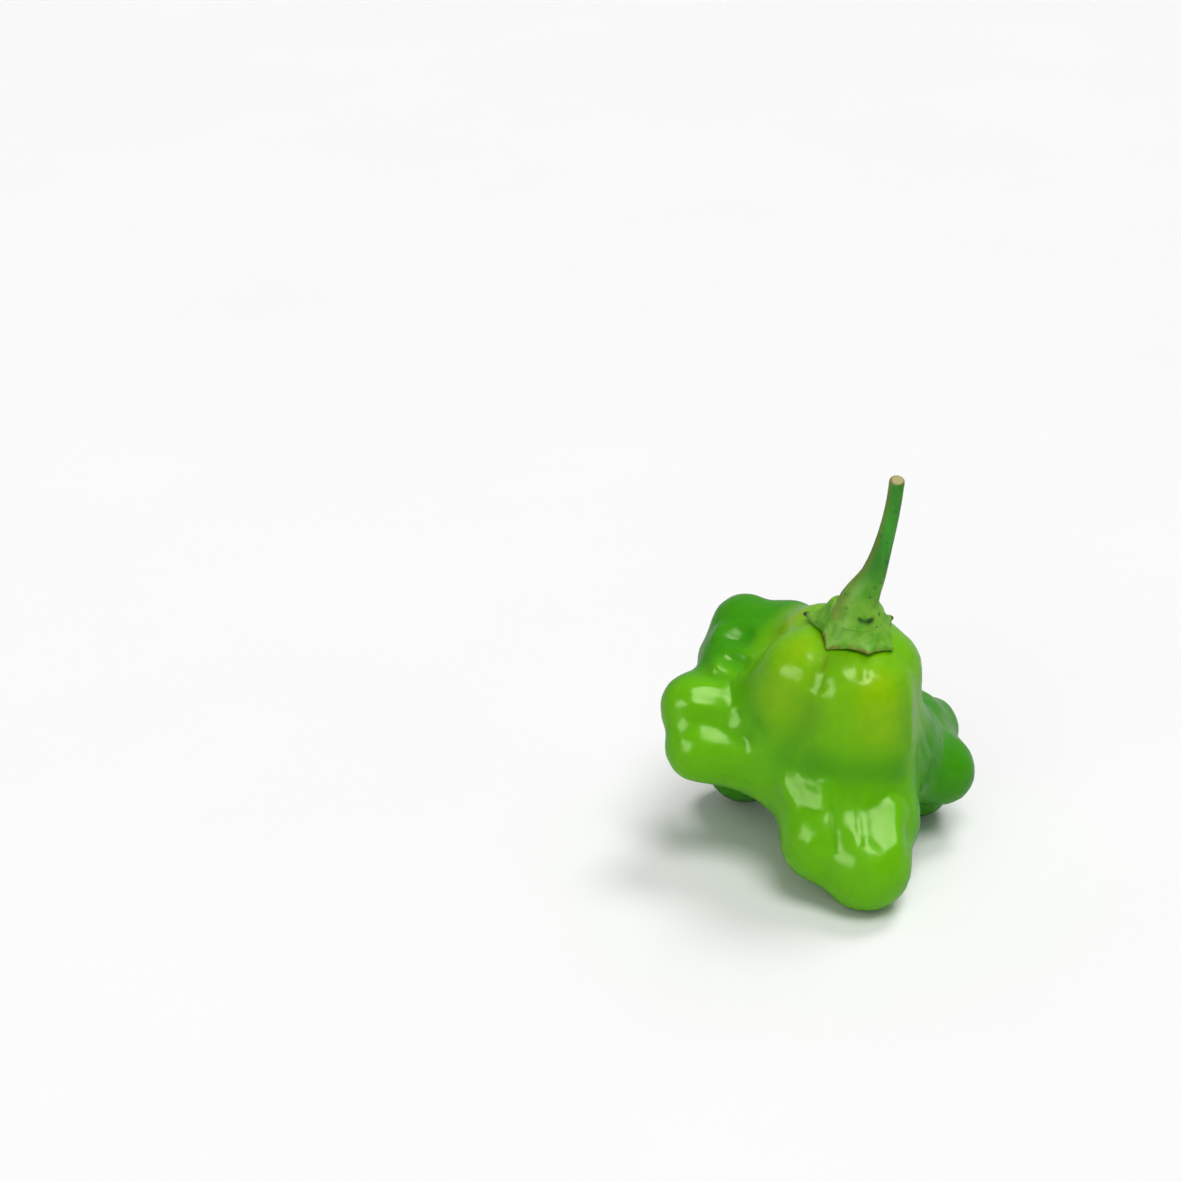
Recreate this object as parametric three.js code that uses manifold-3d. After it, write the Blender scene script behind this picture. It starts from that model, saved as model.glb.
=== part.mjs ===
// A Bishop's Crown chilli pepper as picked, resting on a table on three of its lobes.
// Millimetres, +Z up. The pod, the calyx that caps it and the stem are three solids.
import * as THREE from "three";
import { mergeVertices } from "three/addons/utils/BufferGeometryUtils.js";
import Module from "manifold-3d";

const solids = await Module();
solids.setup();

// ---- Driving dimensions ----------------------------------------------------------

const SEAT_GAP = 0.3; // between the pod and the calyx, and between the calyx and the stem
const FOOT_PRESS = 0.5; // how much of each resting lobe's round end is flat on the table
const CREASE = 0.6; // softness of the grooves between the ribs of the dome or of one lobe
const WEB = 3.8; // softness of the webs between the dome and the lobes

// The pod's core is the point that all its ribs and lobes grow out from.
const CORE = new THREE.Vector3(-3, 0, 27);

// The dome under the stem leans off the vertical. Rounded ribs stand round its axis.
const DOME = {
  base: new THREE.Vector3(-1.2, 0, 27), // foot of the axis
  height: 21.5, // from the base to the centre of the ribs' round tops
  leanRight: 3.5, // degrees towards +X
  leanForward: 12, // degrees towards -Y
  ribRadius: 10.5,
  heartRadius: 10, // of the flesh round the axis, inside the ribs
  spread: 0.7, // how much further from the axis the ribs stand at its base
  // Azimuth of each rib in degrees round the axis from +X, and its top's offset from the axis.
  ribs: [
    { azimuth: -101, offset: 9 },
    { azimuth: -69, offset: 9 },
    { azimuth: -6, offset: 5.9 },
    { azimuth: 62, offset: 5.5 },
    { azimuth: 123, offset: 8 },
    { azimuth: -162, offset: 9.8 },
  ],
};

// Each lobe is one to three tapered, round-ended ridges that run out from the core. Azimuth is
// in degrees round +Z from +X, reach is the plan distance from the core to the ridge's round
// end, and height is that end's height above the table. A foot's end lies on the table.
const FOOT = "foot";
const LOBES = {
  front: [
    { azimuth: -98, reach: 23, height: 13.5, root: 10, tip: 9.5 },
    { azimuth: -77, reach: 28, height: FOOT, root: 11, tip: 10.5 },
    { azimuth: -61, reach: 21, height: 15.5, root: 10, tip: 8.5 },
  ],
  left: [
    { azimuth: 178, reach: 32, height: 35.6, root: 8, tip: 7.8 },
    { azimuth: 188, reach: 31, height: 27.5, root: 9, tip: 8 },
    { azimuth: 160, reach: 23, height: 42, root: 9, tip: 7.5 },
    { azimuth: 182, reach: 13, height: 38, root: 10, tip: 9 },
  ],
  backLeft: [
    { azimuth: 118, reach: 20, height: 46, root: 9, tip: 8 },
    { azimuth: 134, reach: 28, height: 47.5, root: 9, tip: 7.5 },
    { azimuth: 142, reach: 27.5, height: 40, root: 9, tip: 7.5 },
  ],
  right: [
    { azimuth: 16, reach: 28, height: 15.5, root: 9, tip: 8 },
    { azimuth: 35, reach: 28, height: FOOT, root: 9, tip: 7.5 },
    { azimuth: 8, reach: 16.5, height: 25, root: 9, tip: 7.5 },
  ],
  backRight: [
    { azimuth: 44.5, reach: 36.5, height: 18.5, root: 10, tip: 7 },
    { azimuth: 44, reach: 28.5, height: 23, root: 9, tip: 7.3 },
  ],
  backLeftFoot: [{ azimuth: 129, reach: 30, height: FOOT, root: 9, tip: 9 }],
};

// The calyx lies on the dome, its rim a polygon with a tooth at each corner. In the middle
// it rises to a flat round seat for the stem. Places are in the dome's own frame.
const CALYX = {
  teeth: [
    { azimuth: -134, reach: 10 },
    { azimuth: -78, reach: 10.3 },
    { azimuth: -37, reach: 10.3 },
    { azimuth: 34, reach: 10.4 },
    { azimuth: 95, reach: 10 },
    { azimuth: 153, reach: 12 },
  ],
  hollow: 0.7, // how far each side of the polygon bows in
  thickness: 0.8,
  seatRadius: 5.9,
  seatRise: 5.5, // of the seat above the dome's crown
  collar: 4.2, // width of the collar that sweeps from the seat down to the leaf
  sweep: 1.8, // how hollow the collar's side is, 1 for a straight cone
};

// The stem is a horn that flares on to its seat, bends and ends in a clean cut. The cut's
// place is given from the seat.
const STEM = {
  height: 35.6,
  right: 6,
  forward: 10.9,
  neck: 1.6, // radius of the thin part
  inset: 0.2, // how far its foot stays inside the seat's edge
  flareLength: 8.5,
  swell: 0.05, // how much wider it is at the cut
};

const POD_DETAIL = 18; // icosahedron subdivision of the pod
const WRAP_ROUNDS = 120; // evening rounds of the pod's mesh
const SIDE_STEPS = 10; // points along each side of the calyx
const LEAF_RINGS = 12; // rings from the calyx's middle to its rim
const STEM_RINGS = 34;
const STEM_SIDES = 28;

// ---- Pod shape --------------------------------------------------------------------

const radians = THREE.MathUtils.degToRad;
const lean = new THREE.Euler(radians(DOME.leanForward), radians(DOME.leanRight), 0);

// A place in the dome's own frame: across its axis, and height above its base.
function inDome(x, y, height) {
  return new THREE.Vector3(x, y, height).applyEuler(lean).add(DOME.base);
}

// The place at an azimuth, in degrees from +X, and a distance from the origin.
function polar(azimuth, distance) {
  const angle = radians(azimuth);
  return new THREE.Vector2(distance * Math.cos(angle), distance * Math.sin(angle));
}

const ribs = DOME.ribs.map(({ azimuth, offset }) => {
  const { x, y } = polar(azimuth, offset);
  const flare = 1 + DOME.spread / offset;
  return {
    from: inDome(x * flare, y * flare, 0),
    to: inDome(x, y, DOME.height),
    root: DOME.ribRadius,
    tip: DOME.ribRadius,
  };
});

const heart = {
  from: DOME.base,
  to: inDome(0, 0, DOME.height),
  root: DOME.heartRadius,
  tip: DOME.heartRadius,
};

const lobes = Object.values(LOBES).map((ridges) =>
  ridges.map(({ azimuth, reach, height, root, tip }) => {
    const { x, y } = polar(azimuth, reach);
    const z = height === FOOT ? tip - FOOT_PRESS : height;
    return { from: CORE, to: new THREE.Vector3(CORE.x + x, CORE.y + y, z), root, tip };
  }),
);

const step = new THREE.Vector3();
const span = new THREE.Vector3();

// Distance from a point to a tapered, round-ended ridge.
function ridgeDistance(point, { from, to, root, tip }) {
  span.subVectors(to, from);
  step.subVectors(point, from);
  const along = THREE.MathUtils.clamp(step.dot(span) / span.lengthSq(), 0, 1);
  return step.addScaledVector(span, -along).length() - THREE.MathUtils.lerp(root, tip, along);
}

// Distance to several shapes melted together.
function melt(distances, softness) {
  const least = Math.min(...distances);
  const sum = distances.reduce((total, d) => total + Math.exp((least - d) / softness), 0);
  return least - softness * Math.log(sum);
}

// Signed distance to the pod.
function podDistance(point) {
  const parts = [[heart, ...ribs], ...lobes].map((ridges) =>
    melt(ridges.map((ridge) => ridgeDistance(point, ridge)), CREASE),
  );
  return melt(parts, WEB);
}

// Outward direction of the pod's skin near a point.
function podNormal(point) {
  const h = 0.05;
  const slope = (axis) => {
    const p = point.clone();
    p[axis] += h;
    const above = podDistance(p);
    p[axis] -= 2 * h;
    return above - podDistance(p);
  };
  return new THREE.Vector3(slope("x"), slope("y"), slope("z")).normalize();
}

// Where a straight line that starts outside first comes within a clearance of the pod.
function meetPod(start, direction, clearance) {
  const point = start.clone();
  for (let i = 0; i < 200; i++) {
    const left = podDistance(point) - clearance;
    if (Math.abs(left) < 1e-4) break;
    point.addScaledVector(direction, left * 0.7);
  }
  return point;
}

// Cuts everything below the table off, which leaves a flat sole under each foot.
function flattenFeet(vertices, faces) {
  const mesh = new solids.Mesh({ numProp: 3, vertProperties: vertices, triVerts: faces });
  const cut = new solids.Manifold(mesh).trimByPlane([0, 0, 1], 0).getMesh();
  const skin = new THREE.BufferGeometry();
  skin.setAttribute("position", new THREE.BufferAttribute(cut.vertProperties, 3));
  return skin.setIndex(Array.from(cut.triVerts));
}

// An even closed mesh drawn on to the pod's skin.
function makePod() {
  const ball = new THREE.IcosahedronGeometry(1, POD_DETAIL);
  ball.deleteAttribute("normal");
  ball.deleteAttribute("uv");
  const skin = mergeVertices(ball, 1e-4);
  const place = skin.attributes.position;
  const points = [];
  for (let i = 0; i < place.count; i++) {
    const out = new THREE.Vector3().fromBufferAttribute(place, i);
    const start = CORE.clone().addScaledVector(out, 90);
    points.push(meetPod(start, out.negate(), 0));
  }
  const near = points.map(() => new Set());
  const index = skin.index.array;
  for (let i = 0; i < index.length; i += 3)
    for (let j = 0; j < 3; j++) {
      near[index[i + j]].add(index[i + ((j + 1) % 3)]);
      near[index[i + ((j + 1) % 3)]].add(index[i + j]);
    }
  for (let round = 0; round < WRAP_ROUNDS; round++) {
    const moved = points.map((point, i) => {
      const mean = new THREE.Vector3();
      let total = 0;
      for (const n of near[i]) {
        const pull = points[n].distanceTo(point);
        mean.addScaledVector(points[n], pull);
        total += pull;
      }
      return mean.divideScalar(total).lerp(point, 0.6);
    });
    moved.forEach((point, i) => {
      const settle = round < WRAP_ROUNDS - 1 ? 1 : 4;
      for (let k = 0; k < settle; k++)
        point.addScaledVector(podNormal(point), -podDistance(point));
      points[i].copy(point);
    });
  }
  return flattenFeet(new Float32Array(points.flatMap((p) => p.toArray())), index);
}

// ---- Calyx and stem ------------------------------------------------------------------

// Joins rings of points, each as long as the next, into a closed skin. The first and the
// last ring are closed with a fan round their middle. Rings run anticlockwise seen from the
// end that the last ring faces.
function ringSkin(rings) {
  const sides = rings[0].length;
  const points = rings.flat();
  const faces = [];
  for (let i = 0; i + 1 < rings.length; i++)
    for (let j = 0; j < sides; j++) {
      const a = i * sides + j;
      const b = i * sides + ((j + 1) % sides);
      faces.push(a, b, b + sides, a, b + sides, a + sides);
    }
  const last = (rings.length - 1) * sides;
  for (const [ring, first] of [[rings[0], 0], [rings.at(-1), last]]) {
    const middle = new THREE.Vector3();
    for (const point of ring) middle.addScaledVector(point, 1 / sides);
    const centre = points.push(middle) - 1;
    for (let j = 0; j < sides; j++) {
      const a = first + j;
      const b = first + ((j + 1) % sides);
      faces.push(...(first ? [centre, a, b] : [centre, b, a]));
    }
  }
  const skin = new THREE.BufferGeometry().setFromPoints(points);
  skin.setIndex(faces);
  return skin;
}

// The calyx's rim, seen along the dome's axis.
function calyxRim() {
  const corners = CALYX.teeth.map(({ azimuth, reach }) => polar(azimuth, reach));
  return corners.flatMap((corner, i) => {
    const next = corners[(i + 1) % corners.length];
    return Array.from({ length: SIDE_STEPS }, (_, k) => {
      const t = k / SIDE_STEPS;
      const place = corner.clone().lerp(next, t);
      return place.setLength(place.length() - CALYX.hollow * 4 * t * (1 - t));
    });
  });
}

// Height over the dome's base of the first place a clearance above the dome's skin.
function skinHeight({ x, y }, clearance) {
  const sky = DOME.height + 3 * DOME.ribRadius;
  const above = inDome(x, y, sky);
  const down = DOME.base.clone().sub(inDome(0, 0, 1));
  return sky - meetPod(above, down, clearance).distanceTo(above);
}

const seatHeight = skinHeight({ x: 0, y: 0 }, 0) + CALYX.seatRise;

function makeCalyx() {
  const rim = calyxRim();
  const bed = (place) => skinHeight(place, SEAT_GAP);
  const edgeTop = (place) => bed(place) + CALYX.thickness / 2;
  const leafTop = (place) => {
    const leaf = bed(place) + CALYX.thickness;
    const out = (place.length() - CALYX.seatRadius) / CALYX.collar;
    const share = (1 - THREE.MathUtils.clamp(out, 0, 1)) ** CALYX.sweep;
    return THREE.MathUtils.lerp(leaf, seatHeight, share);
  };
  const ring = (scale, height) =>
    rim.map((edge) => {
      const place = edge.clone().multiplyScalar(scale);
      return inDome(place.x, place.y, height(place));
    });
  const scales = Array.from({ length: LEAF_RINGS }, (_, i) => (i + 1) / LEAF_RINGS);
  return ringSkin([
    ...scales.map((scale) => ring(scale, bed)),
    ring(1, edgeTop),
    ...scales.toReversed().map((scale) => ring(scale * 0.975, leafTop)),
  ]);
}

function makeStem() {
  const seat = inDome(0, 0, seatHeight + SEAT_GAP);
  const axis = seat.clone().sub(DOME.base).normalize();
  const path = new THREE.CatmullRomCurve3([
    seat,
    seat.clone().addScaledVector(axis, STEM.height / 12),
    ...[0.27, 0.53, 0.79, 1].map((t) => {
      const right = STEM.right * (1 - (1 - t) ** 2);
      return new THREE.Vector3(right, -STEM.forward * t ** 1.4, STEM.height * t).add(seat);
    }),
  ]);
  const length = path.getLength();
  const flare = CALYX.seatRadius - STEM.inset - STEM.neck;
  const side = new THREE.Vector3(1, 0, 0);
  const rings = Array.from({ length: STEM_RINGS + 1 }, (_, i) => {
    const t = (i / STEM_RINGS) ** 1.3;
    const middle = path.getPointAt(t);
    const along = i ? path.getTangentAt(t) : axis;
    const out = side.clone().addScaledVector(along, -side.dot(along)).normalize();
    const back = along.clone().cross(out);
    const radius =
      STEM.neck +
      flare * Math.exp((-t * length) / STEM.flareLength) +
      STEM.swell * Math.exp((t - 1) * 12);
    return Array.from({ length: STEM_SIDES }, (_, j) => {
      const turn = (j / STEM_SIDES) * 2 * Math.PI;
      return middle
        .clone()
        .addScaledVector(out, radius * Math.cos(turn))
        .addScaledVector(back, radius * Math.sin(turn));
    });
  });
  return ringSkin(rings);
}

// ---- The pepper --------------------------------------------------------------------

const pepper = new THREE.Group();

function add(name, geometry, color, roughness) {
  const look = new THREE.MeshStandardMaterial({ color, roughness, metalness: 0 });
  const mesh = new THREE.Mesh(geometry, look);
  mesh.name = name;
  pepper.add(mesh);
}

add("pod", makePod(), 0x4fa30f, 0.25);
add("calyx", makeCalyx(), 0x5fae2e, 0.6);
add("stem", makeStem(), 0x3a8a2a, 0.5);

// The pepper's middle stands over the origin.
const middle = new THREE.Box3().setFromObject(pepper).getCenter(new THREE.Vector3());
for (const part of pepper.children) part.geometry.translate(-middle.x, -middle.y, 0);

export default pepper;
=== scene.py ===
"""A green, lobed chilli pepper lying on a pale table.

The pod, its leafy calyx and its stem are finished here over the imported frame: each piece
starts from its own solid, is rounded and wrinkled as a grown thing is, and gets its skin.
"""

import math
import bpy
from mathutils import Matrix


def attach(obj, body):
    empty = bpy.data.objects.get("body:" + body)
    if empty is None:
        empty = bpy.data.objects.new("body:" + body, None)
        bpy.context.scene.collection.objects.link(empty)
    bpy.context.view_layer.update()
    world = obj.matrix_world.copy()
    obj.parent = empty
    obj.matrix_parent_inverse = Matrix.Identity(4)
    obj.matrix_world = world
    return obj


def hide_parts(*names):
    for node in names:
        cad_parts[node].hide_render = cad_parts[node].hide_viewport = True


bl_info = {
    "name": "Chilli Pepper",
    "version": (1, 0, 0),
    "blender": (4, 5, 0),
    "location": "View3D > Sidebar > Pepper",
    "description": "Finishes a lobed chilli pepper: pod, calyx, stem and a pale stage",
    "category": "Add Mesh",
}

import bpy
import numpy as np
from mathutils import Euler, Vector, noise

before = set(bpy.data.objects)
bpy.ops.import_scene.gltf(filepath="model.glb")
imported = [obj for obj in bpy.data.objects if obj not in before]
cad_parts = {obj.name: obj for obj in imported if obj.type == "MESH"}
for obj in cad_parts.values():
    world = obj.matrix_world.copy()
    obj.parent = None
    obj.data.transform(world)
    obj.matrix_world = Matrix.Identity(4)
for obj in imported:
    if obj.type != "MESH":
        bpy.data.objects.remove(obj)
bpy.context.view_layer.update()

MM = 0.001
# The places below are in the frame, and in millimetres where they are plain numbers. The
# wrinkles fan out from the core.
CORE = Vector((2.3, 2.6, 27)) * MM
# The dome's axis runs up to the middle of the stem's seat.
DOME_BASE = Vector((4.1, 2.6, 27)) * MM
DOME_AXIS = Vector((0.061, -0.2075, 0.976))
# The ribs of the dome that the sun has yellowed: from, to, width.
SUNNY_RIBS = (
    ((10, -19, 51), (10.5, -20, 42), 5.8),
    ((-6, -10, 54), (-9, -11, 45), 5.5),
    ((-5, 6, 57), (-9, 4, 53), 5),
)
# The brown scratch beside the calyx, and the fold low on the stem's foot.
SCRATCH = ((-0.3, -12, 56.8), (-2, -15.2, 54))
FOOT_SLIT = ((6.3, -10.2, 63.8), (9.3, -9.8, 63.7))
# Azimuths in degrees, round the dome's axis, of the calyx's two teeth that have died back
# to a dark point.
DEAD_TEETH = (153, 34)
# Flats that the skin has where it is stretched: from, to, facing, radius, strength.
FLATS = (
    # the front lobe's top, in three planes
    ((12.8, -24.4, 22.9), (12.8, -27.8, 20), (-0.02, -0.65, 0.76), 5, 0.85),
    ((4.2, -24, 24), (4.2, -27, 21.4), (0, -0.67, 0.74), 2.2, 0.5),
    ((-3.1, -21.2, 25.9), (-7, -18.2, 27), (-0.45, -0.76, 0.46), 4.4, 0.85),
    # the left lobe: its top and the ledge under it
    ((-28.5, -1.8, 41), (-23, -1.8, 41), (0.06, -0.67, 0.74), 3.6, 0.62),
    ((-27, -7, 33.7), (-19.5, -8.3, 32.1), (0.05, -0.67, 0.74), 2.8, 0.5),
    # the back left lobe's cheek, and the foot of it
    ((-23.5, 12.5, 50.7), (-18.5, 11.5, 49.8), (0, -0.67, 0.74), 2.6, 0.7),
    ((-23.2, 4.1, 46.1), (-20, 3.9, 46), (-0.01, -0.67, 0.74), 2.6, 0.9),
)
# Painted shade in the valleys, drawn in the deep green: from, to, width, share.
VALLEYS = (
    ((-0.5, -13, 56), (-5, -17, 44), 2.2, 0.5),
    ((-5, -17, 44), (-9, -15, 32), 4, 0.55),
    ((15.5, -17, 50), (17, -16, 36), 2.6, 0.45),
    ((-3, -19, 33), (14, -19, 32), 5, 0.75),
    ((-17, -4, 47), (-15, -9, 38), 4, 0.5),
)
# Folds and welts that fingers would find: from, to, width, height. Folds have a minus.
STROKES = (
    # the dome: its full front, the valley between its two front ribs, the notch in the
    # front one, the side
    ((4, -18, 34), (14, -18, 34), 9, 1.8),
    ((-0.5, -13, 56), (-3, -17, 51), 2, -0.35),
    ((-3, -17, 51), (-6, -16, 40), 3, -0.4),
    ((7.4, -14, 56), (7, -18, 53.5), 1.1, -0.35),
    ((13, -12.5, 55), (16.5, -16, 47), 1.8, -0.25),
    ((17.5, -15.5, 46), (17.5, -15, 36), 1.4, 0.35),
    # the left lobe: wrinkles across it
    ((-31, -4.6, 38.6), (-20, -6, 38.6), 0.8, -0.25),
    ((-32, -6.5, 36), (-16, -10, 38), 1.2, -0.4),
    ((-21.3, 0.5, 43), (-21, -3.2, 39.8), 0.7, -0.25),
    # the back left lobe's saddle, and the folds between it and the left lobe
    ((-20, 6.5, 49), (-13, 5, 50.5), 5, -1.4),
    ((-22, 6, 47.5), (-16, -1, 49), 1.2, -0.2),
    ((-20, 2, 46), (-15.5, -6, 45), 1.2, 0.2),
    # the front lobe: folds along it and the shelf where it begins
    ((0, -21, 27.5), (1.3, -30, 17), 0.9, -0.28),
    ((6, -22, 26.5), (6.6, -30, 18.5), 0.8, -0.22),
    ((-1, -20, 31), (16, -17.5, 28), 1.6, -0.3),
    # the right lobe: the fold from the dome on to it
    ((20, -8, 36), (25, -3.5, 25.5), 1.6, 0.4),
    ((23.5, -5, 31), (27, 0, 17), 1.4, -0.35),
)

# How many times each point moves halfway to the mean of its neighbours: to round the
# rebuilt skin, to blend in the flats, and to find the broad shape without its folds.
ROUND_OFF, BLEND_IN, BROADEN = 6, 12, 60
# Where the stem's cut faces.
CUT_FACING = (0.17, -0.5, 0.85)
# The camera's place in metres.
CAMERA_PLACE = (-0.05299, -0.56882, 0.31955)
# Lamps for the highlights alone: name, azimuth and elevation, size in degrees, radiance.
SOFTBOXES = (
    ("overhead_softbox", (-66, 68), (28, 26), 13),
    ("left_window", (-148, 22), (34, 24), 9),
)
# Lamps for the shading: name, azimuth and elevation, spread in degrees, strength.
SOFT_LIGHTS = (
    ("overhead_glow", (-66, 68), 30, 1.6),
    ("soft_key", (50, 60), 22, 1.2),
    ("front_fill", (-110, 25), 60, 0.9),
)
LAMP_DISTANCE = 8
# The world is brightest towards here. Its strengths in front, there, and as a backdrop.
WORLD_TOWARDS = (0.2, 0.75, 0.6)
WORLD_DIM, WORLD_BRIGHT, BACKDROP = 0.1, 0.32, 0.95
# How bright the table looks in the pepper's skin, next to how it looks to the camera.
TABLE_IN_SKIN = 0.45


# ---- Sizes and colours ---------------------------------------------------------------


def colour(name, description, default):
    """A setting that is a colour."""
    return bpy.props.FloatVectorProperty(
        name=name,
        description=description,
        subtype="COLOR",
        size=3,
        min=0,
        max=1,
        default=default,
    )


def length(name, description, default):
    """A setting that is a length, in metres."""
    return bpy.props.FloatProperty(
        name=name,
        description=description,
        subtype="DISTANCE",
        unit="LENGTH",
        default=default,
    )


class PepperPodSettings(bpy.types.PropertyGroup):
    cell: length("Skin cell", "Size of the faces that the skin is rebuilt from", 0.92 * MM)
    swell: length("Swell", "Depth of the broad dents and swellings", 0.25 * MM)
    wrinkle: length("Wrinkle", "Depth of the wrinkles along the lobes", 0.07 * MM)
    ripple: length("Ripple", "Depth of the ripples that bend the highlights", 0.1 * MM)
    green: colour("Green", "Colour of the lobes", (0.125, 0.44, 0.003))
    # The back and right lobes' deeper green, also used as painted shade in the folds and
    # valleys.
    shade: colour("Deep green", "Colour in the folds and valleys", (0.036, 0.265, 0.003))
    sun: colour("Sun green", "Yellow green of the dome's ribs", (0.25, 0.48, 0.002))
    scar: colour("Scar", "Brown of the scratch beside the calyx", (0.16, 0.09, 0.02))


class PepperCalyxSettings(bpy.types.PropertyGroup):
    curl: length("Curl", "How far the rim lifts off the pod", 0.35 * MM)
    rag: length("Rag", "How far the torn rim wanders in and out", 0.35 * MM)
    spine: length("Spine", "Height of the spine that runs to the left tooth", 2.2 * MM)
    leaf: colour("Leaf", "Colour of the calyx", (0.1, 0.34, 0.012))
    vein: colour("Vein", "Pale green of the veins and patches", (0.18, 0.42, 0.03))
    dry: colour("Dry rim", "Colour of the dried rim", (0.24, 0.15, 0.04))
    tip: colour("Tip", "Colour of the dead tips of the teeth", (0.03, 0.015, 0.012))


class PepperStemSettings(bpy.types.PropertyGroup):
    rib: length("Rib", "Depth of the ribs along the stem", 0.1 * MM)
    skirt: length("Skirt", "How far down the foot runs out on the calyx", 1.3 * MM)
    bark: colour("Stem", "Colour of the stem", (0.035, 0.22, 0.015))
    foot: colour("Foot", "Colour of the stem's foot", (0.1, 0.34, 0.012))
    patch: colour("Foot's patches", "Pale green of the foot's patches", (0.18, 0.42, 0.03))
    # Painted shade inside the fold on the stem's foot.
    slit: colour("Fold", "Colour inside the fold on the foot", (0.02, 0.07, 0.008))
    # Brownish green on the side of the stem that faces left.
    brownish: colour("Worn side", "Brownish green of the stem's worn side", (0.2, 0.22, 0.03))
    fleck: colour("Flecks", "Dark green of the flecks", (0.012, 0.09, 0.03))
    cut: colour("Cut", "Colour of the dried cut", (0.17, 0.17, 0.05))
    pith: colour("Pith", "Colour of the middle of the cut", (0.4, 0.36, 0.15))


class PepperStageSettings(bpy.types.PropertyGroup):
    floor: colour("Floor", "Colour of the table", (0.85, 0.85, 0.85))
    lens: bpy.props.FloatProperty(
        name="Lens",
        description="Focal length of the camera",
        subtype="DISTANCE_CAMERA",
        default=85,
    )
    pitch: bpy.props.FloatProperty(
        name="Pitch",
        description="How far the camera looks down",
        subtype="ANGLE",
        default=math.radians(24),
    )


# ---- Helpers -------------------------------------------------------------------------


def copy_of(node, name):
    """A new object that holds a frame node's mesh, its doubles merged."""
    bpy.ops.object.select_all(action="DESELECT")
    piece = bpy.data.objects.new(name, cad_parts[node].data.copy())
    piece.data.name = name
    piece.data.materials.clear()
    bpy.context.collection.objects.link(piece)
    bpy.context.view_layer.objects.active = piece
    piece.select_set(True)
    bpy.ops.object.mode_set(mode="EDIT")
    bpy.ops.mesh.select_all(action="SELECT")
    bpy.ops.mesh.remove_doubles(threshold=0.001 * MM)
    bpy.ops.object.mode_set(mode="OBJECT")
    return piece


def finish_with(piece, kind, **values):
    """Adds a modifier to a piece and applies it."""
    modifier = piece.modifiers.new(kind.title(), kind)
    for key, value in values.items():
        setattr(modifier, key, value)
    bpy.ops.object.modifier_apply(modifier=modifier.name)


def blob(distance, width):
    """A bell curve of the distance: 1 at the middle, about a third at the width."""
    return np.exp(-((distance / width) ** 2))


def read_points(piece):
    points = np.empty(len(piece.data.vertices) * 3)
    piece.data.vertices.foreach_get("co", points)
    return points.reshape(-1, 3)


def read_normals(piece):
    normals = np.empty(len(piece.data.vertices) * 3, np.float32)
    piece.data.vertex_normals.foreach_get("vector", normals)
    return normals.reshape(-1, 3).astype(float)


def write_points(piece, points):
    piece.data.vertices.foreach_set("co", points.ravel())
    piece.data.update()


def paint(piece, name, values):
    """Stores one number per vertex for the materials."""
    layer = piece.data.attributes.new(name, "FLOAT", "POINT")
    layer.data.foreach_set("value", np.clip(values, 0, 1).astype(np.float32))


def waves(points, scale, seed):
    """Smooth noise of about one wave per scale, from -1 to 1, one value per point."""
    shift = Vector((seed * 7.31, seed * 3.17, seed * 5.53))
    return np.array([noise.noise(Vector(p) / scale + shift) for p in points])


def neighbour_mean(piece, values, rounds):
    """Values evened out over the mesh's edges."""
    edges = np.empty(len(piece.data.edges) * 2, np.int32)
    piece.data.edges.foreach_get("vertices", edges)
    a, b = edges.reshape(-1, 2).T
    count = np.bincount(np.concatenate([a, b]), minlength=len(values))
    for _ in range(rounds):
        total = np.zeros_like(values)
        np.add.at(total, a, values[b])
        np.add.at(total, b, values[a])
        share = total / (count[:, None] if values.ndim > 1 else count)
        values = (values + share) / 2
    return values


def dome_frame(points):
    """Height along the dome's axis, distance from it, and azimuth round it."""
    axis = np.array(DOME_AXIS)
    away = points - np.array(DOME_BASE)
    rise = away @ axis
    across = away - rise[:, None] * axis
    side = np.cross((0, 1, 0), axis)
    side /= np.linalg.norm(side)
    front = np.cross(axis, side)
    return rise, np.linalg.norm(across, axis=1), np.arctan2(across @ front, across @ side)


def smooth_step(values):
    t = np.clip(values, 0, 1)
    return t * t * (3 - 2 * t)


def nearest_on_line(points, start, end):
    """Each point's nearest place on the line between two places in millimetres."""
    a = np.array(start) * MM
    run = np.array(end) * MM - a
    share = np.clip((points - a) @ run / (run @ run), 0, 1)
    return a + share[:, None] * run


def near_line(points, start, end):
    return np.linalg.norm(points - nearest_on_line(points, start, end), axis=1)


def smooth_shaded(piece):
    bpy.ops.object.select_all(action="DESELECT")
    piece.select_set(True)
    bpy.context.view_layer.objects.active = piece
    bpy.ops.object.shade_smooth()


def keep(piece, node, material):
    piece.data.materials.append(material)
    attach(piece, "root")
    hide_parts(node)


# ---- Materials -----------------------------------------------------------------------


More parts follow.
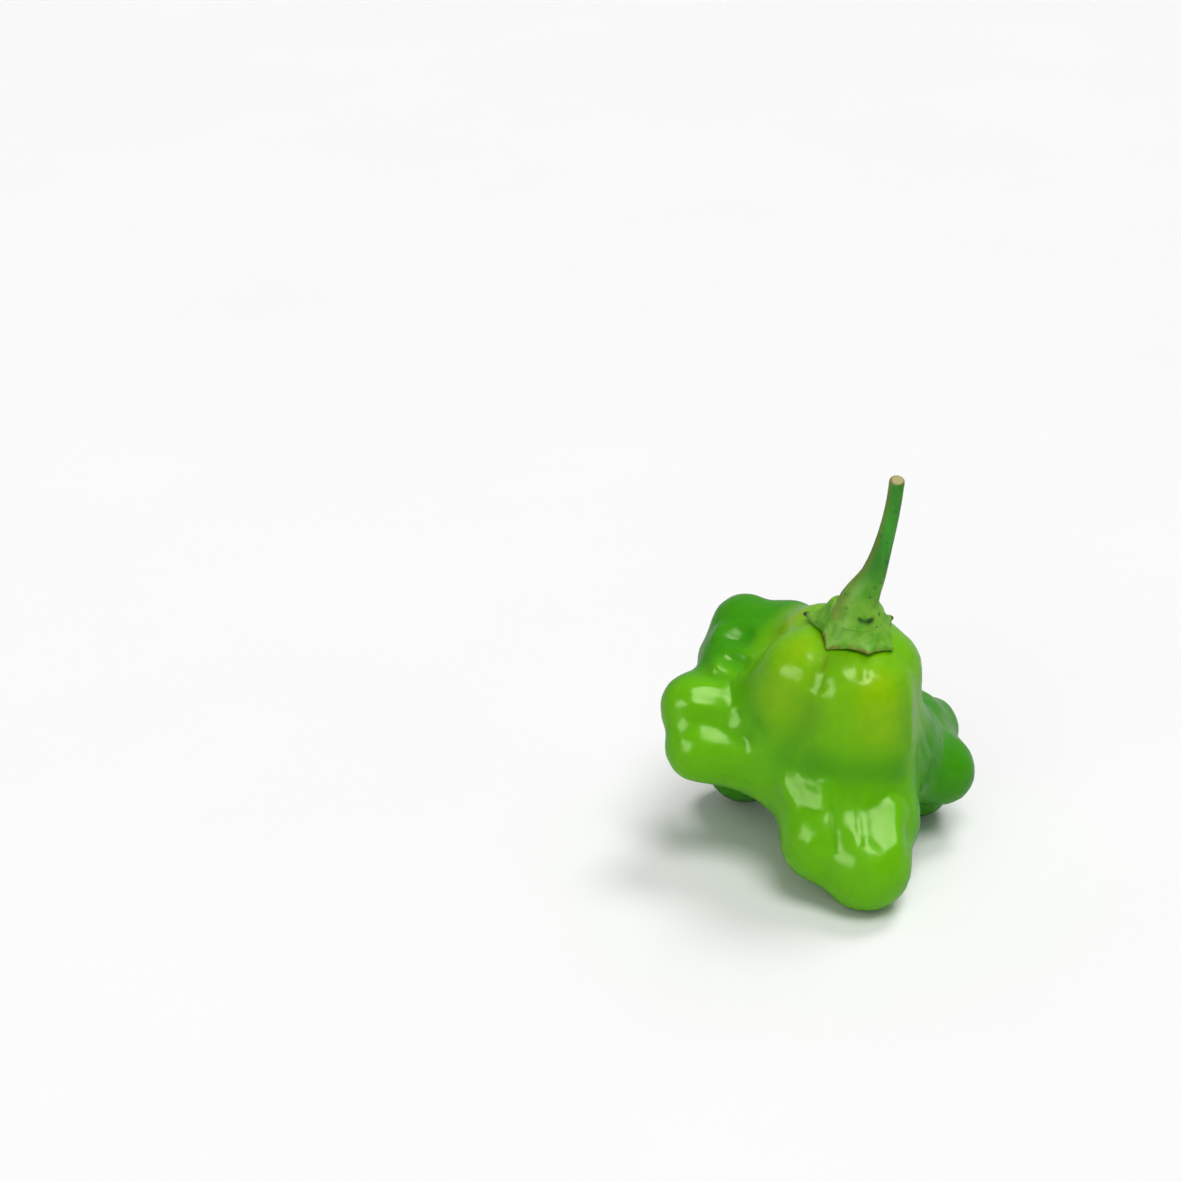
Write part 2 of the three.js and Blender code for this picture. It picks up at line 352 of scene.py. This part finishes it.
class Nodes:
    """A material's node tree, built step by step."""

    def __init__(self, name):
        self.material = bpy.data.materials.new(name)
        self.material.use_nodes = True
        self.tree = self.material.node_tree
        self.skin = self.tree.nodes["Principled BSDF"]
        self.place = self.tree.nodes.new("ShaderNodeTexCoord").outputs["Object"]

    def link(self, source, target):
        self.tree.links.new(source, target)

    def attribute(self, name):
        node = self.tree.nodes.new("ShaderNodeAttribute")
        node.attribute_name = name
        return node.outputs["Fac"]

    def cloud(self, scale, detail=3.0, stretch=None):
        """Noise with a given number of waves per metre."""
        node = self.tree.nodes.new("ShaderNodeTexNoise")
        node.inputs["Scale"].default_value = scale
        node.inputs["Detail"].default_value = detail
        source = self.place
        if stretch:
            mapping = self.tree.nodes.new("ShaderNodeMapping")
            mapping.inputs["Scale"].default_value = stretch
            self.link(self.place, mapping.inputs["Vector"])
            source = mapping.outputs["Vector"]
        self.link(source, node.inputs["Vector"])
        return node.outputs["Fac"]

    def spots(self, scale):
        node = self.tree.nodes.new("ShaderNodeTexVoronoi")
        node.inputs["Scale"].default_value = scale
        self.link(self.place, node.inputs["Vector"])
        return node.outputs["Distance"]

    def ramp(self, source, low, high, out_low=0.0, out_high=1.0):
        node = self.tree.nodes.new("ShaderNodeMapRange")
        for key, value in (
            ("From Min", low),
            ("From Max", high),
            ("To Min", out_low),
            ("To Max", out_high),
        ):
            node.inputs[key].default_value = value
        self.link(source, node.inputs["Value"])
        return node.outputs["Result"]

    def times(self, a, b):
        node = self.tree.nodes.new("ShaderNodeMath")
        node.operation = "MULTIPLY"
        self.link(a, node.inputs[0])
        if isinstance(b, (int, float)):
            node.inputs[1].default_value = b
        else:
            self.link(b, node.inputs[1])
        return node.outputs[0]

    def mix(self, amount, a, b):
        """Colour a where the amount is 0, colour b where it is 1."""
        node = self.tree.nodes.new("ShaderNodeMix")
        node.data_type = "RGBA"
        self.link(amount, node.inputs["Factor"])
        for socket, value in ((node.inputs[6], a), (node.inputs[7], b)):
            if isinstance(value, bpy.types.NodeSocket):
                self.link(value, socket)
            else:
                socket.default_value = (*value, 1)
        return node.outputs[2]

    def bump(self, height, strength, distance):
        node = self.tree.nodes.new("ShaderNodeBump")
        node.inputs["Strength"].default_value = strength
        node.inputs["Distance"].default_value = distance
        self.link(height, node.inputs["Height"])
        self.link(node.outputs["Normal"], self.skin.inputs["Normal"])


def pod_material(look):
    m = Nodes("glossy pepper skin")
    # The back and right lobes are drawn a deeper green, and the valleys get painted shade
    # in it.
    body = m.mix(m.attribute("deep"), look.green, look.shade)
    # Painted shade in the folds and hollows.
    body = m.mix(m.times(m.attribute("fold"), 0.5), body, look.shade)
    patchy = m.times(m.attribute("sun"), m.ramp(m.cloud(90, 4), 0.3, 0.62, 0.6, 1))
    body = m.mix(patchy, body, look.sun)
    mottle = m.ramp(m.cloud(420, 5), 0.35, 0.7, 0, 0.22)
    body = m.mix(mottle, body, [c * 0.7 for c in look.green])
    body = m.mix(m.attribute("scar"), body, look.scar)
    m.link(body, m.skin.inputs["Base Color"])
    m.link(m.ramp(m.cloud(160, 4), 0.3, 0.7, 0.17, 0.27), m.skin.inputs["Roughness"])
    m.skin.inputs["IOR"].default_value = 1.25
    m.skin.inputs["Specular IOR Level"].default_value = 0.75
    m.skin.inputs["Specular Tint"].default_value = (0.95, 1, 0.6, 1)
    m.skin.inputs["Subsurface Weight"].default_value = 0.15
    m.skin.inputs["Subsurface Radius"].default_value = (0.6, 1.0, 0.12)
    m.skin.inputs["Subsurface Scale"].default_value = 1.5 * MM
    m.bump(m.cloud(550, 5), 0.25, 0.07 * MM)
    return m.material


def calyx_material(look):
    m = Nodes("calyx leaf")
    body = m.mix(m.ramp(m.cloud(330, 5), 0.4, 0.6), look.leaf, look.vein)
    body = m.mix(m.attribute("vein"), body, look.vein)
    speckle = m.ramp(m.cloud(800, 3), 0.6, 0.72, 0, 0.5)
    body = m.mix(speckle, body, [c * 0.6 for c in look.leaf])
    dry = m.times(m.attribute("dry"), m.ramp(m.cloud(450, 4), 0.48, 0.58))
    body = m.mix(dry, body, look.dry)
    body = m.mix(m.attribute("tip"), body, look.tip)
    m.link(body, m.skin.inputs["Base Color"])
    m.link(m.ramp(m.cloud(500, 3), 0.3, 0.7, 0.42, 0.62), m.skin.inputs["Roughness"])
    m.skin.inputs["Specular IOR Level"].default_value = 0.25
    m.skin.inputs["Subsurface Weight"].default_value = 0.1
    m.skin.inputs["Subsurface Scale"].default_value = 0.6 * MM
    m.bump(m.cloud(1300, 5), 0.5, 0.14 * MM)
    return m.material


def stem_material(look):
    m = Nodes("stem bark")
    light = [c * 1.5 for c in look.bark]
    body = m.mix(m.ramp(m.cloud(300, 4, (1, 1, 0.15)), 0.4, 0.65), look.bark, light)
    foot = m.mix(m.ramp(m.cloud(330, 5), 0.4, 0.6), look.foot, look.patch)
    body = m.mix(m.attribute("flare"), body, foot)
    # Painted shade inside the fold on the foot.
    body = m.mix(m.attribute("slit"), body, look.slit)
    # Brownish green on the side of the stem that faces left.
    body = m.mix(m.attribute("brownish"), body, look.brownish)
    flecked_parts = m.ramp(m.cloud(260, 2), 0.5, 0.6, 0, 0.7)
    fleck = m.times(m.ramp(m.spots(620), 0.34, 0.18), flecked_parts)
    body = m.mix(fleck, body, look.fleck)
    body = m.mix(m.attribute("cut"), body, look.cut)
    body = m.mix(m.attribute("pith"), body, look.pith)
    m.link(body, m.skin.inputs["Base Color"])
    m.link(m.ramp(m.cloud(700, 3), 0.3, 0.7, 0.38, 0.55), m.skin.inputs["Roughness"])
    m.skin.inputs["Specular IOR Level"].default_value = 0.2
    m.bump(m.cloud(1300, 4, (1, 1, 0.2)), 0.3, 0.1 * MM)
    return m.material


def floor_material(look):
    m = Nodes("white table")
    uneven = m.ramp(m.cloud(9, 3), 0.3, 0.7)
    body = m.mix(uneven, look.floor, [c * 0.985 for c in look.floor])
    mirrored = m.tree.nodes.new("ShaderNodeLightPath").outputs["Is Glossy Ray"]
    body = m.mix(mirrored, body, [c * TABLE_IN_SKIN for c in look.floor])
    m.link(body, m.skin.inputs["Base Color"])
    m.skin.inputs["Roughness"].default_value = 0.7
    m.skin.inputs["Specular IOR Level"].default_value = 0.2
    return m.material


# ---- Operators -----------------------------------------------------------------------


class PEPPER_OT_pod(bpy.types.Operator):
    """Rounds, dents and wrinkles the pod and gives it its glossy skin."""

    bl_idname = "pepper.pod"
    bl_label = "Pod"

    def execute(self, context):
        look = context.scene.pepper_pod
        pod = copy_of("pod", "pod_skin")
        self.smooth_skin(pod, look.cell)
        points = read_points(pod)
        normals = read_normals(pod)
        for flat in FLATS:
            self.flatten(points, normals, *flat)
        write_points(pod, neighbour_mean(pod, points, BLEND_IN))
        self.wrinkle(pod, look)
        self.colour_in(pod)
        smooth_shaded(pod)
        keep(pod, "pod", pod_material(look))
        return {"FINISHED"}

    def smooth_skin(self, pod, cell):
        """Rebuilds the pod's faces evenly and rounds off their corners."""
        finish_with(pod, "SUBSURF", levels=1, render_levels=1)
        finish_with(pod, "REMESH", mode="VOXEL", voxel_size=cell)
        write_points(pod, neighbour_mean(pod, read_points(pod), ROUND_OFF))
        finish_with(pod, "SUBSURF", levels=1, render_levels=1)

    def wrinkle(self, pod, look):
        """Gives the skin its dents, wrinkles, folds and welts, but not where it rests."""
        points = read_points(pod)
        normals = read_normals(pod)
        away = points - np.array(CORE)
        reach = np.linalg.norm(away, axis=1)
        fan = away / reach[:, None] * 30 * MM + away * 0.12
        free = np.clip(points[:, 2] / (3 * MM), 0, 1)
        depth = look.swell * waves(points, 11 * MM, 1) * free
        depth += look.wrinkle * waves(fan, 2.1 * MM, 2) * free
        depth += look.ripple * waves(points, 4.5 * MM, 10) * free
        wander = points + normals * (0.5 * MM * waves(points, 3 * MM, 3))[:, None]
        for start, end, width, height in STROKES:
            depth += height * MM * blob(near_line(wander, start, end), width * MM) * free
        points += normals * depth[:, None]
        points[:, 2] = np.maximum(points[:, 2], 0)
        write_points(pod, points)

    def colour_in(self, pod):
        """Paints shade into the folds and valleys, and marks the sunny ribs, the deeper
        green of the back and right lobes, and the scratch.
        """
        points = read_points(pod)
        # Painted shade: the hollower the skin is than its broad shape, the further it is
        # drawn towards the deep green.
        broad = neighbour_mean(pod, points, BROADEN)
        hollow = ((broad - points) * read_normals(pod)).sum(1)
        paint(pod, "fold", 0.2 + hollow / (0.5 * MM))
        rise, across, _ = dome_frame(points)
        crown = np.clip((rise - 6 * MM) / (12 * MM), 0, 1)
        crown *= np.clip((25 * MM - across) / (6 * MM), 0, 1)
        ribs = np.zeros(len(points))
        for start, end, width in SUNNY_RIBS:
            ribs = np.maximum(ribs, blob(near_line(points, start, end), width * MM))
        paint(pod, "sun", 0.3 * crown + 0.75 * ribs)
        far = np.maximum(points[:, 1] / (10 * MM), (points[:, 0] - 17 * MM) / (7 * MM))
        deep = smooth_step(far) * (1 - 0.8 * crown)
        # Painted shade in the valleys, in the same deep green.
        for start, end, width, share in VALLEYS:
            deep = np.maximum(deep, share * blob(near_line(points, start, end), width * MM))
        paint(pod, "deep", deep)
        scratch = blob(near_line(points, *SCRATCH), 0.5 * MM)
        paint(pod, "scar", scratch * (0.6 + 0.4 * waves(points, MM, 8)))

    def flatten(self, points, normals, start, end, facing, radius, strength):
        """Draws the skin round a line towards the plane that the line lies in."""
        out = np.array(Vector(facing).normalized())
        away = points - nearest_on_line(points, start, end)
        height = away @ out
        across = np.linalg.norm(away - height[:, None] * out, axis=1) / (radius * MM)
        pull = smooth_step(1.4 * (1.3 - across))
        pull *= smooth_step(1.7 - np.abs(height) / (3 * MM))
        pull *= smooth_step(2.5 * (normals @ out))
        points -= (strength * pull * height)[:, None] * out


class PEPPER_OT_calyx(bpy.types.Operator):
    """Curls and tears the calyx's rim and dries its edge."""

    bl_idname = "pepper.calyx"
    bl_label = "Calyx"

    def execute(self, context):
        look = context.scene.pepper_calyx
        calyx = copy_of("calyx", "calyx_leaf")
        finish_with(calyx, "SUBSURF", levels=2, render_levels=2)
        points = read_points(calyx)
        axis = np.array(DOME_AXIS)
        rise, across, turn = dome_frame(points)
        rim, teeth = self.rim(across, turn)
        share = across / rim
        out = points - np.array(DOME_BASE) - rise[:, None] * axis
        out /= np.linalg.norm(out, axis=1)[:, None] + 1e-9
        ring = np.stack([np.cos(turn), np.sin(turn), np.zeros(len(turn))], 1)
        edge = smooth_step((share - 0.75) / 0.25)
        tooth = np.zeros(len(points))
        ridge = np.zeros(len(points))
        for angle, reach in teeth:
            off = np.abs((turn - angle + math.pi) % (2 * math.pi) - math.pi) * across
            ridge += blob(off, 0.7 * MM)
            if min(abs(math.degrees(angle) - dead) for dead in DEAD_TEETH) < 12:
                tooth = np.maximum(tooth, blob(np.hypot(across - reach, off), MM))
        leafy = smooth_step((share - 0.4) / 0.3)
        # The rim curls, a ridge runs out to each tooth, the left tooth has a spine, and the
        # leaf buckles.
        lift = look.curl * edge**2 * (0.4 + 0.8 * waves(ring, 0.5, 4))
        lift += 0.9 * look.curl * tooth
        lift += 0.25 * MM * leafy * (1 - edge) * ridge
        left = (turn - math.radians(DEAD_TEETH[0])) * across
        lift += look.spine * blob(left, 2.4 * MM) * blob(share - 0.58, 0.24)
        lift += 0.4 * MM * leafy * waves(points, 2.4 * MM, 6)
        lift += 0.1 * MM * waves(points, 0.9 * MM, 7)
        spread = look.rag * edge * waves(ring, 0.22, 5) + 0.9 * MM * tooth**2
        points += axis * lift[:, None] + out * spread[:, None]
        write_points(calyx, points)
        # How far in the dry brown rim reaches, wandering round the rim.
        brownish = 0.5 + 0.5 * waves(ring, 0.35, 9)
        paint(calyx, "dry", smooth_step((share - 1 + 0.07 * brownish) / 0.03))
        paint(calyx, "tip", smooth_step(2.2 * tooth - 0.9))
        paint(calyx, "vein", leafy * np.clip(0.7 * ridge, 0, 0.7))
        smooth_shaded(calyx)
        keep(calyx, "calyx", calyx_material(look))
        return {"FINISHED"}

    def rim(self, across, turn):
        """Distance of the rim from the dome's axis at each azimuth, and the teeth."""
        bins = 120
        slot = ((turn + math.pi) / (2 * math.pi) * bins).astype(int) % bins
        far = np.zeros(bins)
        np.maximum.at(far, slot, across)
        middle = (np.arange(bins) + 0.5) * 2 * math.pi / bins - math.pi
        near = [np.roll(far, shift) for shift in range(-8, 9)]
        peaks = np.flatnonzero(far >= np.max(near, axis=0))
        teeth = [(middle[i], far[i]) for i in peaks]
        return np.interp(turn, middle, far, period=2 * math.pi), teeth


class PEPPER_OT_stem(bpy.types.Operator):
    """Runs the stem's foot out on to the calyx, ribs the stem and colours its cut."""

    bl_idname = "pepper.stem"
    bl_label = "Stem"

    def execute(self, context):
        look = context.scene.pepper_stem
        stem = copy_of("stem", "stem_bark")
        finish_with(stem, "SUBSURF", levels=2, render_levels=2)
        points = read_points(stem)
        normals = read_normals(stem)
        axis = np.array(DOME_AXIS)
        rise, across, turn = dome_frame(points)
        height = rise - rise.min()
        foot = smooth_step(1 - height / (2.6 * MM))
        out = points - np.array(DOME_BASE) - rise[:, None] * axis
        lumps = waves(points, 2.3 * MM, 11) * smooth_step(1 - height / (7 * MM))
        # The fold on the foot sags in its middle.
        middle = (FOOT_SLIT[0][0] + FOOT_SLIT[1][0]) / 2 * MM
        level = points - np.outer((points[:, 0] - middle) ** 2 / (8 * MM), (0, 0, 1))
        slit = blob(near_line(level, *FOOT_SLIT), 0.34 * MM)
        points += normals * (0.22 * MM * lumps - 0.32 * MM * slit)[:, None]
        ribs = np.cos(5 * turn + 0.8) + 0.5 * np.cos(3 * turn + 2)
        low = smooth_step(1 - height / (16 * MM))
        points += normals * (look.rib * low * ribs)[:, None] * (1 - foot)[:, None]
        ragged = 0.16 + 0.12 * waves(points, 3 * MM, 13)
        points += out * (ragged * foot**2)[:, None]
        points -= axis * (look.skirt * foot**2)[:, None]
        top = points[:, 2].max()
        end = smooth_step((points[:, 2] - top + 1.6 * MM) / (0.8 * MM))
        facing = np.clip(read_normals(stem) @ np.array(CUT_FACING), 0, 1)
        write_points(stem, points)
        paint(stem, "flare", smooth_step(1.15 - height / (13 * MM)))
        # Painted shade along the fold, on top of its dent.
        paint(stem, "slit", 1.5 * slit)
        # The side of the stem that faces left is drawn brownish green.
        paint(stem, "brownish", 0.5 * smooth_step(-normals[:, 0] * 2 - 0.9))
        paint(stem, "cut", end)
        paint(stem, "pith", end * smooth_step((facing - 0.86) / 0.08))
        smooth_shaded(stem)
        keep(stem, "stem", stem_material(look))
        return {"FINISHED"}


class PEPPER_OT_stage(bpy.types.Operator):
    """Sets the table, the soft studio lights and the camera."""

    bl_idname = "pepper.stage"
    bl_label = "Stage"

    def execute(self, context):
        look = context.scene.pepper_stage
        scene = context.scene
        bpy.ops.object.select_all(action="DESELECT")
        bpy.ops.mesh.primitive_plane_add(size=6, location=(0, 0, 0))
        table = context.active_object
        table.name = "table_top"
        table.data.materials.append(floor_material(look))
        for softbox in SOFTBOXES:
            self.softbox(*softbox)
        for light in SOFT_LIGHTS:
            self.soft_light(*light)
        scene.world = self.studio()
        scene.view_settings.view_transform = "Standard"
        camera = bpy.data.cameras.new("camera")
        camera.lens = look.lens
        camera.sensor_width = 36
        camera.clip_start = 0.01
        camera.clip_end = 20
        eye = bpy.data.objects.new("camera", camera)
        eye.location = CAMERA_PLACE
        eye.rotation_euler = Euler((math.pi / 2 - look.pitch, 0, 0))
        context.collection.objects.link(eye)
        scene.camera = eye
        return {"FINISHED"}

    def direction(self, azimuth, elevation):
        """The way towards an azimuth and an elevation in degrees."""
        a, e = math.radians(azimuth), math.radians(elevation)
        flat = math.cos(e)
        return Vector((math.cos(a) * flat, math.sin(a) * flat, math.sin(e)))

    def softbox(self, name, direction, angles, radiance):
        """A far lit rectangle, sized in degrees, that makes the highlights alone."""
        size = [2 * LAMP_DISTANCE * math.tan(math.radians(angle) / 2) for angle in angles]
        out = self.direction(*direction)
        lamp = bpy.data.lights.new(name, "AREA")
        lamp.shape = "RECTANGLE"
        lamp.size, lamp.size_y = size
        lamp.energy = radiance * math.pi * size[0] * size[1]
        box = bpy.data.objects.new(name, lamp)
        box.location = CORE + out * LAMP_DISTANCE
        box.rotation_euler = out.to_track_quat("Z", "Y").to_euler()
        box.visible_camera = False
        box.visible_diffuse = False
        bpy.context.collection.objects.link(box)

    def soft_light(self, name, direction, spread, strength):
        """A far round light that shapes the pepper but makes no highlight."""
        lamp = bpy.data.lights.new(name, "SUN")
        lamp.energy = strength
        lamp.angle = math.radians(spread)
        sun = bpy.data.objects.new(name, lamp)
        out = self.direction(*direction)
        sun.rotation_euler = out.to_track_quat("Z", "Y").to_euler()
        sun.visible_glossy = False
        bpy.context.collection.objects.link(sun)

    def studio(self):
        """A world brightest behind and above, and plain white to the camera."""
        world = bpy.data.worlds.new("studio")
        world.use_nodes = True
        tree = world.node_tree
        air = tree.nodes["Background"]
        place = tree.nodes.new("ShaderNodeTexCoord")
        along = tree.nodes.new("ShaderNodeVectorMath")
        along.operation = "DOT_PRODUCT"
        along.inputs[1].default_value = WORLD_TOWARDS
        shade = tree.nodes.new("ShaderNodeMapRange")
        shade.inputs["From Min"].default_value = -0.3
        shade.inputs["From Max"].default_value = 0.8
        shade.inputs["To Min"].default_value = WORLD_DIM
        shade.inputs["To Max"].default_value = WORLD_BRIGHT
        ray = tree.nodes.new("ShaderNodeLightPath")
        seen = tree.nodes.new("ShaderNodeMix")
        seen.inputs["B"].default_value = BACKDROP
        tree.links.new(place.outputs["Generated"], along.inputs[0])
        tree.links.new(along.outputs["Value"], shade.inputs["Value"])
        tree.links.new(ray.outputs["Is Camera Ray"], seen.inputs["Factor"])
        tree.links.new(shade.outputs["Result"], seen.inputs["A"])
        tree.links.new(seen.outputs["Result"], air.inputs["Strength"])
        air.inputs["Color"].default_value = (1, 1, 1, 1)
        return world


class PEPPER_PT_panel(bpy.types.Panel):
    """Lists the pepper's pieces and their settings."""

    bl_label = "Chilli Pepper"
    bl_space_type = "VIEW_3D"
    bl_region_type = "UI"
    bl_category = "Pepper"

    def draw(self, context):
        for operator, settings in (
            (PEPPER_OT_pod, context.scene.pepper_pod),
            (PEPPER_OT_calyx, context.scene.pepper_calyx),
            (PEPPER_OT_stem, context.scene.pepper_stem),
            (PEPPER_OT_stage, context.scene.pepper_stage),
        ):
            box = self.layout.box()
            for key in settings.bl_rna.properties.keys():
                if key not in ("rna_type", "name"):
                    box.prop(settings, key)
            box.operator(operator.bl_idname)


SETTINGS = {
    "pepper_pod": PepperPodSettings,
    "pepper_calyx": PepperCalyxSettings,
    "pepper_stem": PepperStemSettings,
    "pepper_stage": PepperStageSettings,
}
CLASSES = (
    *SETTINGS.values(),
    PEPPER_OT_pod,
    PEPPER_OT_calyx,
    PEPPER_OT_stem,
    PEPPER_OT_stage,
    PEPPER_PT_panel,
)


def register():
    for cls in CLASSES:
        bpy.utils.register_class(cls)
    for key, settings in SETTINGS.items():
        setattr(bpy.types.Scene, key, bpy.props.PointerProperty(type=settings))


def unregister():
    for key in SETTINGS:
        delattr(bpy.types.Scene, key)
    for cls in reversed(CLASSES):
        bpy.utils.unregister_class(cls)


def main():
    register()
    bpy.ops.pepper.pod()
    bpy.ops.pepper.calyx()
    bpy.ops.pepper.stem()
    bpy.ops.pepper.stage()


if __name__ == "__main__":
    main()
